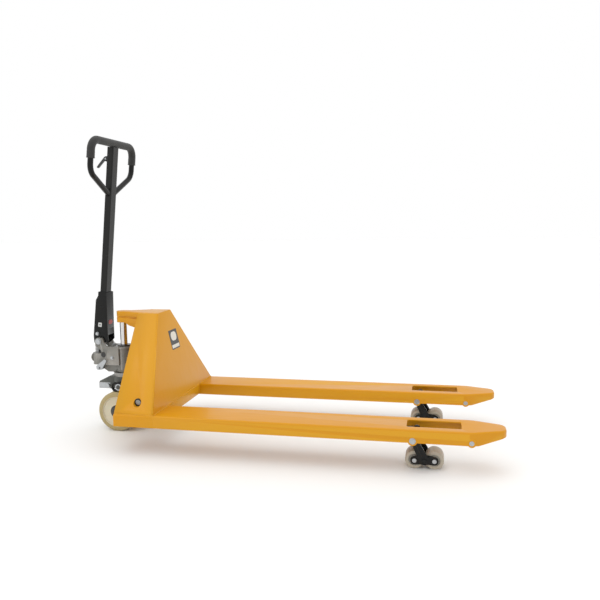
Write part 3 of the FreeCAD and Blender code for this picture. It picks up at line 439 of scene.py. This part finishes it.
JOINT_AT = {joint["name"]: Vector(joint["pos_m"]) for joint in frame["joints"] if "pos_m" in joint}
RAM_X = (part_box("ram")[0].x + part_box("ram")[1].x) / 2


def at_pump(x, y, z):
    """A point given in mm from the ram's axis and the ground."""
    return Vector((RAM_X + x * MM, y * MM, z * MM))


gloss_black, surface, place = new_material("pressed_black_cover", 0.34, Coat_Weight=0.3)
scuff = noise(gloss_black, place, 0.012, 5.0).outputs["Fac"]
shade = ramp(gloss_black, scuff, [(0.35, "171717"), (0.8, "33322F")])
join(gloss_black, shade, surface.inputs["Base Color"])
bump(gloss_black, surface, [(scuff, 0.2 * MM, 0.25)])
# Painted shade: a black disc on the side of the pump body stands in for the dark opening between the
# release lever and the body.
turned_piece("opening_shade_disc",
             [(0, 0), (0, 12.4), (1.5, 12.4), (2.6, 10.5), (2.6, 5), (1.2, 4.4), (1.2, 0)],
             at_pump(-84, -40, 343), (0, -1, 0), gloss_black, "head")
hex_screw("valve_nut", at_pump(-100, -60.2, 284), (0, -1, 0), 10 * MM, 5 * MM, zinc,
          "release_lever")
hex_screw("relief_screw", at_pump(-160, 0, 323), (-1, 0, 0), 13 * MM, 5 * MM, zinc, "head")
hex_screw("side_screw_l", at_pump(-40, 44, 330), (0, 1, 0), 12 * MM, 5 * MM, zinc, "head")
hex_screw("side_screw_r", at_pump(-40, -44, 330), (0, -1, 0), 12 * MM, 5 * MM, zinc, "head")
hex_screw("filler_screw", at_pump(-50, 0, 386), (0, 0, 1), 11 * MM, 4 * MM, zinc, "head")
for end, sign in (("l", 1), ("r", -1)):
    turned_piece(f"trunnion_ring_{end}", [(0, 10.2), (2.4, 10.2), (2.4, 15), (0, 15), (0, 10.2)],
                 at_pump(0, sign * 74.4, 203), (0, sign, 0), zinc, "base")
    turned_piece(f"shaft_ring_{end}", [(0, 10), (0, 14), (2, 14), (2, 10), (0, 10)],
                 at_pump(-104, sign * 45, 404), (0, sign, 0), zinc, "head")
turned_piece("boss_ring", [(0, 16.4), (3, 16.4), (3, 19.5), (0, 19.5), (0, 16.4)],
             at_pump(-154, 0, 323), (-1, 0, 0), pump_skin, "head")
turned_piece("cylinder_bead", [(0, 36), (1.5, 38.6), (6, 39), (8, 36), (0, 36)],
             at_pump(0, 0, 264), (0, 0, 1), pump_skin, "head")


# Plunger spring. Round spring wire, coiled cold and oiled black-grey.
WIRE_R = 1.7 * MM
COIL_R = 13.0 * MM
TURNS = 7
STEPS = TURNS * 28
spring_low, spring_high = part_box("plunger_spring")
spring_mid = (spring_low + spring_high) / 2
mesh = bmesh.new()
wire_start = Vector((spring_mid.x + COIL_R, spring_mid.y, spring_low.z + WIRE_R))
upright = Matrix.Translation(wire_start) @ Matrix.Rotation(math.pi / 2, 4, "X")
bmesh.ops.create_circle(mesh, segments=10, radius=WIRE_R, matrix=upright)
rise = spring_high.z - spring_low.z - 2 * WIRE_R
bmesh.ops.spin(mesh, geom=mesh.verts[:] + mesh.edges[:], cent=spring_mid, axis=(0, 0, 1),
               dvec=(0, 0, rise / STEPS), angle=math.tau * TURNS, steps=STEPS)
bmesh.ops.holes_fill(mesh, edges=[edge for edge in mesh.edges if edge.is_boundary])
spring = finish(from_bmesh("return_spring", mesh), steel, "head")
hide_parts("plunger_spring")
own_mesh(spring)


# Steering wheels and rollers. Cast nylon wheels, turned on the tread: a cream core with a more
# amber tread that picks up grey dirt, on ball bearings behind black pressed covers.
def nylon(name, centre, core, tread, change, tread_dirt, skin):
    """Nylon whose colour changes from core to tread at a radius, in metres, from its axle."""
    material, surface, place = new_material(name, 0.42, Subsurface_Weight=0.04, Subsurface_Scale=0.004)
    moved = add(material, "ShaderNodeMapping", [("Vector", place)], Location=-centre)
    flat = add(material, "ShaderNodeVectorMath", operation="MULTIPLY")
    join(material, moved.outputs["Vector"], flat.inputs[0])
    flat.inputs[1].default_value = (1, 0, 1)
    reach = add(material, "ShaderNodeVectorMath", operation="LENGTH")
    join(material, flat.outputs[0], reach.inputs[0])
    step = add(material, "ShaderNodeMapRange", [("Value", reach.outputs["Value"])], clamp=True)
    step.inputs["From Min"].default_value = change - 0.8 * MM
    step.inputs["From Max"].default_value = change + 0.8 * MM
    colour = mix(material, step.outputs["Result"], core, tread)
    cloud = noise(material, place, 0.03, 5.0).outputs["Fac"]
    dirt = ramp(material, cloud, [(0.45, "000000"), (0.75, "5A5A5A")])
    colour = mix(material, dirt, colour, tread_dirt)
    join(material, colour, surface.inputs["Base Color"])
    fine = noise(material, place, 1.1 * MM, 3.0).outputs["Fac"]
    bump(material, surface, [(cloud, 0.5 * MM, 0.2), (fine, 0.1 * MM, skin)])
    return material


WHEEL_AT = JOINT_AT["wheel_l_spin"]
WHEEL_R = (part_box("wheel_tyre_l")[1].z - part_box("wheel_tyre_l")[0].z) / 2
wheel_nylon = nylon("cast_wheel_nylon", WHEEL_AT, "CFC6AC", "A9986A", WHEEL_R - 21 * MM, "857852", 0.3)
for end in ("l", "r"):
    eased(f"wheel_tyre_{end}", f"wheel_{end}", wheel_nylon, 1.5 * MM, 3)
eased("axle_caps", "head", gloss_black, 1.0 * MM, 3)
dress(gloss_black, "ram_seal")
COVER_Y = 77.2 * MM
GROOVE_Y = 77.4 * MM
for end, sign in (("l", 1), ("r", -1)):
    turned_piece(f"wheel_cover_{end}",
                 [(0, 12), (0.8, 24), (0.8, 29), (0, 30.5), (-2, 30.5), (-2, 12), (0, 12)],
                 Vector((WHEEL_AT.x, sign * COVER_Y, WHEEL_AT.z)), (0, sign, 0), gloss_black,
                 f"wheel_{end}")
    turned_piece(f"wheel_groove_{end}", [(-0.6, 67.4), (0.9, 68.2), (0.9, 69.8), (-0.6, 70.6)],
                 Vector((WHEEL_AT.x, sign * GROOVE_Y, WHEEL_AT.z)), (0, sign, 0), wheel_nylon,
                 f"wheel_{end}")

ROLLER_NYLON = "B0A695"
ROLLER_CORE = "8E8A80"
ROLLER_DIRT = "746E62"
ROLLER_SEAL_Y = 32.9 * MM
for end in ("l", "r"):
    for number in ("1", "2"):
        roller = f"load_roller_{end}{number}"
        at = JOINT_AT[f"{roller}_spin"]
        roller_nylon = nylon(f"roller_nylon_{end}{number}", at, ROLLER_CORE, ROLLER_NYLON, 22 * MM,
                             ROLLER_DIRT, 0.35)
        eased(roller, roller, roller_nylon, 1.0 * MM)
        for side, sign in (("in", -1), ("out", 1)):
            turned_piece(f"roller_seal_{end}{number}_{side}",
                         [(0, 8.6), (1.2, 8.6), (1.2, 15), (0, 15.6), (0, 8.6)],
                         at + Vector((0, sign * ROLLER_SEAL_Y, 0)), (0, sign, 0), zinc, roller)
    roller = f"entry_roller_{end}"
    at = JOINT_AT[f"{roller}_spin"]
    entry_nylon = nylon(f"entry_nylon_{end}", at, ROLLER_NYLON, ROLLER_NYLON, 16 * MM, ROLLER_DIRT, 0.3)
    eased(roller, roller, entry_nylon, 0.8 * MM)


# Rocker, push rods, roller frames and bogies. Flame-cut and welded bar, dipped in thin black
# paint that is satin, slightly brown where it is worn, and dusty from the floor.
def black_coat(name, roughness, base, worn, dusty):
    material, surface, place = new_material(name, roughness, Specular_IOR_Level=0.22, Coat_Weight=0.04,
                                            Coat_Roughness=0.3)
    tone = noise(material, place, 0.05, 6.0).outputs["Fac"]
    colour = mix(material, ramp(material, tone, [(0.4, "000000"), (0.75, "606060")]), base, dusty)
    colour = mix(material, edge_wear(material, 0.53, 0.62), colour, worn)
    join(material, colour, surface.inputs["Base Color"])
    skin = noise(material, place, 1.8 * MM, 2.0).outputs["Fac"]
    join(material, ramp(material, tone, [(0.3, "707070"), (0.8, "9A9A9A")]), surface.inputs["Roughness"])
    bump(material, surface, [(tone, 0.6 * MM, 0.2), (skin, 0.15 * MM, 0.45)])
    return material


dip_black = black_coat("dipped_black_paint", 0.5, "121211", "2B2723", "1E1D1B")
SHAFT_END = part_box("torsion_shaft")[1].y
FORK_SIDE = 80.1 * MM
STUB_END = 51 * MM
for end, sign in (("l", 1), ("r", -1)):
    shaft_end = JOINT_AT["rocker_turn"] + Vector((0, sign * SHAFT_END, 0))
    # Painted shade: a thin black ring on each end of the torsion shaft stands in for the shade in the
    # recess round the shaft end.
    turned_piece(f"shaft_recess_shade_ring_{end}", [(0, 11), (0.6, 11.4), (0.6, 15.8), (0, 15.8), (0, 11)],
                 shaft_end, (0, sign, 0), dip_black, "rocker")
    eased(f"rocker_arm_{end}", "rocker", dip_black, 1.2 * MM)
    eased(f"drive_arm_{end}", "rocker", dip_black, 1.0 * MM)
    eased(f"push_rod_{end}", f"push_rod_{end}", dip_black, 1.0 * MM)
    eased(f"roller_frame_{end}", f"roller_frame_{end}", dip_black, 0.9 * MM)
    eased(f"bogie_{end}", f"bogie_{end}", dip_black, 0.9 * MM)
    pivot = JOINT_AT[f"roller_fold_{end}"]
    entry = JOINT_AT[f"entry_roller_{end}_spin"]
    bogie_at = JOINT_AT[f"bogie_level_{end}"]
    for side, sign in (("in", -1), ("out", 1)):
        for at, pin in ((pivot, 8), (entry, 5)):
            bore, rim = pin + 0.2, pin + 4
            turned_piece(f"pin_ring_{end}_{side}_{pin}",
                         [(0, bore), (1.2, bore), (1.2, rim), (0, rim), (0, bore)],
                         at + Vector((0, sign * FORK_SIDE, 0)), (0, sign, 0), zinc, "frame")
        turned_piece(f"bogie_boss_{end}_{side}", [(0, 0), (0, 10.5), (1.5, 10.5), (2.6, 8.5), (2.6, 0)],
                     bogie_at + Vector((0, sign * STUB_END, 0)), (0, sign, 0), dip_black,
                     f"bogie_{end}")


# Handle. Rectangular tube, folded bracket and bent round bar, welded and powder coated satin
# black. The powder leaves a fine even texture and goes grey on corners that are knocked.
powder = black_coat("black_powder_coat", 0.42, "0F0F0E", "1C1C1B", "171716")
LEAN = math.radians(6.35)
HANDLE_AT = JOINT_AT["handle_tilt"]


def on_handle(x, y, z):
    """A point given in mm along the leaning handle's own directions, from its pivot."""
    return HANDLE_AT + Matrix.Rotation(LEAN, 3, "Y") @ Vector((x * MM, y * MM, z * MM))


HANDLE_UP = Matrix.Rotation(LEAN, 3, "Y") @ Vector((0, 0, 1))
HANDLE_FORE = Matrix.Rotation(LEAN, 3, "Y") @ Vector((1, 0, 0))
eased("handle_bracket", "handle", powder, 1.6 * MM, 3)
dress(powder, "handle_tube", "handle_loop", "lever_clevis")
for end, sign in (("l", 1), ("r", -1)):
    hex_screw(f"bracket_screw_{end}", on_handle(-11, sign * 36, 33), (0, sign, 0), 12 * MM, 5 * MM, zinc,
              "handle")


def handle_weld(name, spots, radius):
    """Small drops along a chain of points on the handle."""
    mesh = bmesh.new()
    for start, end in zip(spots, spots[1:]):
        steps = max(2, int((end - start).length / DROP_STEP))
        for i in range(steps):
            drop = Matrix.Translation(start.lerp(end, i / steps))
            bmesh.ops.create_icosphere(mesh, subdivisions=2, radius=radius, matrix=drop)
    return finish(from_bmesh(name, mesh), powder, "handle")


corners = [on_handle(x, y, 225) for x, y in ((-15, -25), (15, -25), (15, 25), (-15, 25), (-15, -25))]
handle_weld("bracket_top_weld", corners, 1.9 * MM)
STRUT_Z = 667.5
angles = [math.tau * i / 16 for i in range(17)]
for end, sign in (("l", 1), ("r", -1)):
    ring = [on_handle(12.6 * math.cos(a), sign * 25.4, STRUT_Z + 13.6 * math.sin(a)) for a in angles]
    handle_weld(f"strut_weld_{end}", ring, 1.8 * MM)
label("bracket_label", on_handle(-3, -31, 75), HANDLE_FORE, HANDLE_UP,
      17 * MM, 19 * MM, "C9C9C6", "handle", 2 * MM)
label("bracket_label_mark", on_handle(-3, -31.35, 75), HANDLE_FORE, HANDLE_UP,
      8 * MM, 8 * MM, "6F6F70", "handle", 3.9 * MM, 8)
web_up = (on_handle(20, 0, 225) - on_handle(34, 0, 60)).normalized()
label("web_label", on_handle(31.6, 0, 88), Vector((0, 1, 0)), web_up,
      34 * MM, 20 * MM, "A3241C", "handle", 9.9 * MM, 10)


# Grip and control lever. The grip is a soft black foam-rubber sleeve shrunk over the bar, with
# a rolled collar at each end and shallow finger rings; the lever is moulded glossy black nylon.
foam, surface, place = new_material("black_foam_rubber", 0.72, Sheen_Weight=0.15)
pores = noise(foam, place, 1.3 * MM, 3.0).outputs["Fac"]
worn = noise(foam, place, 0.04, 4.0).outputs["Fac"]
join(foam, ramp(foam, worn, [(0.35, "1D1D1C"), (0.8, "302F2D")]), surface.inputs["Base Color"])
bump(foam, surface, [(worn, 0.8 * MM, 0.2), (pores, 0.3 * MM, 0.6)])
dress(foam, "grip")
LOOP_HALF = 183
GRIP_LOW = 808
for end, sign in (("l", 1), ("r", -1)):
    turned_piece(f"grip_collar_{end}",
                 [(-2.5, 12.2), (-2.5, 16.4), (-1.2, 17.6), (1.2, 17.6), (2.5, 16.4), (2.5, 12.2),
                  (-2.5, 12.2)],
                 on_handle(0, sign * LOOP_HALF, GRIP_LOW), tuple(HANDLE_UP), foam, "handle")
    for ring in range(3):
        turned_piece(f"grip_ring_{end}_{ring}", [(-1.6, 16.2), (-0.8, 17.0), (0.8, 17.0), (1.6, 16.2)],
                     on_handle(0, sign * LOOP_HALF, GRIP_LOW + 8 + 7 * ring), tuple(HANDLE_UP), foam,
                     "handle")
eased("control_lever", "control_lever", gloss_black, 1.4 * MM, 3)
for end, sign in (("r", -1), ("l", 1)):
    hex_screw(f"lever_pin_{end}", on_handle(-27, sign * 10, 816), (0, sign, 0), 6.5 * MM, 2.6 * MM, zinc,
              "handle")


# Setting. A plain pale floor without an edge in sight, an even white sky, one wide soft sun to give
# the floor and the tops their brightness, two large soft lamps for the sheen, and the camera.
floor_paint = bpy.data.materials.new("pale_floor")
floor_paint.use_nodes = True
floor_paint.node_tree.nodes["Principled BSDF"].inputs["Base Color"].default_value = linear("F4F4F3")
floor_paint.node_tree.nodes["Principled BSDF"].inputs["Roughness"].default_value = 0.6
mesh = bmesh.new()
bmesh.ops.create_grid(mesh, x_segments=2, y_segments=2, size=30)
floor = from_bmesh("floor", mesh)
floor.data.materials.append(floor_paint)

world = bpy.data.worlds.new("pale_studio")
bpy.context.scene.world = world
world.use_nodes = True
world.node_tree.nodes["Background"].inputs["Color"].default_value = linear("FFFFFF")
world.node_tree.nodes["Background"].inputs["Strength"].default_value = 1.0


def soft_lamp(name, place, target, size, power):
    lamp = bpy.data.lights.new(name, "AREA")
    lamp.size = size
    lamp.energy = power
    item = bpy.data.objects.new(name, lamp)
    item.location = place
    item.rotation_euler = (Vector(target) - Vector(place)).to_track_quat("-Z", "Y").to_euler()
    bpy.context.scene.collection.objects.link(item)


soft_lamp("left_front", (-3.2, -2.8, 2.6), (0, 0, 0.3), 1.6, 10)
soft_lamp("overhead", (0.3, 0.4, 3.6), (0.2, 0, 0), 2.4, 12)
sky = bpy.data.lights.new("soft_sky", "SUN")
sky.energy = 0.45
sky.angle = 1.2
sky_object = bpy.data.objects.new("soft_sky", sky)
sky_object.rotation_euler = (0.35, -0.3, 0)
bpy.context.scene.collection.objects.link(sky_object)

CAMERA_AT = (0.6488, -2.6431, 0.9267)
CAMERA_YAW = 0.2120
CAMERA_DOWN = 0.1210
CAMERA_ROLL = -0.0151
camera_data = bpy.data.cameras.new("camera")
camera_data.sensor_width = 36
camera_data.lens = 38.33
camera = bpy.data.objects.new("camera", camera_data)
yaw = Matrix.Rotation(CAMERA_YAW, 3, "Z")
pitch = Matrix.Rotation(math.pi / 2 - CAMERA_DOWN, 3, "X")
roll = Matrix.Rotation(CAMERA_ROLL, 3, "Z")
camera.rotation_euler = (yaw @ pitch @ roll).to_euler()
camera.location = CAMERA_AT
bpy.context.scene.collection.objects.link(camera)
bpy.context.scene.camera = camera
bpy.context.scene.view_settings.view_transform = "Standard"
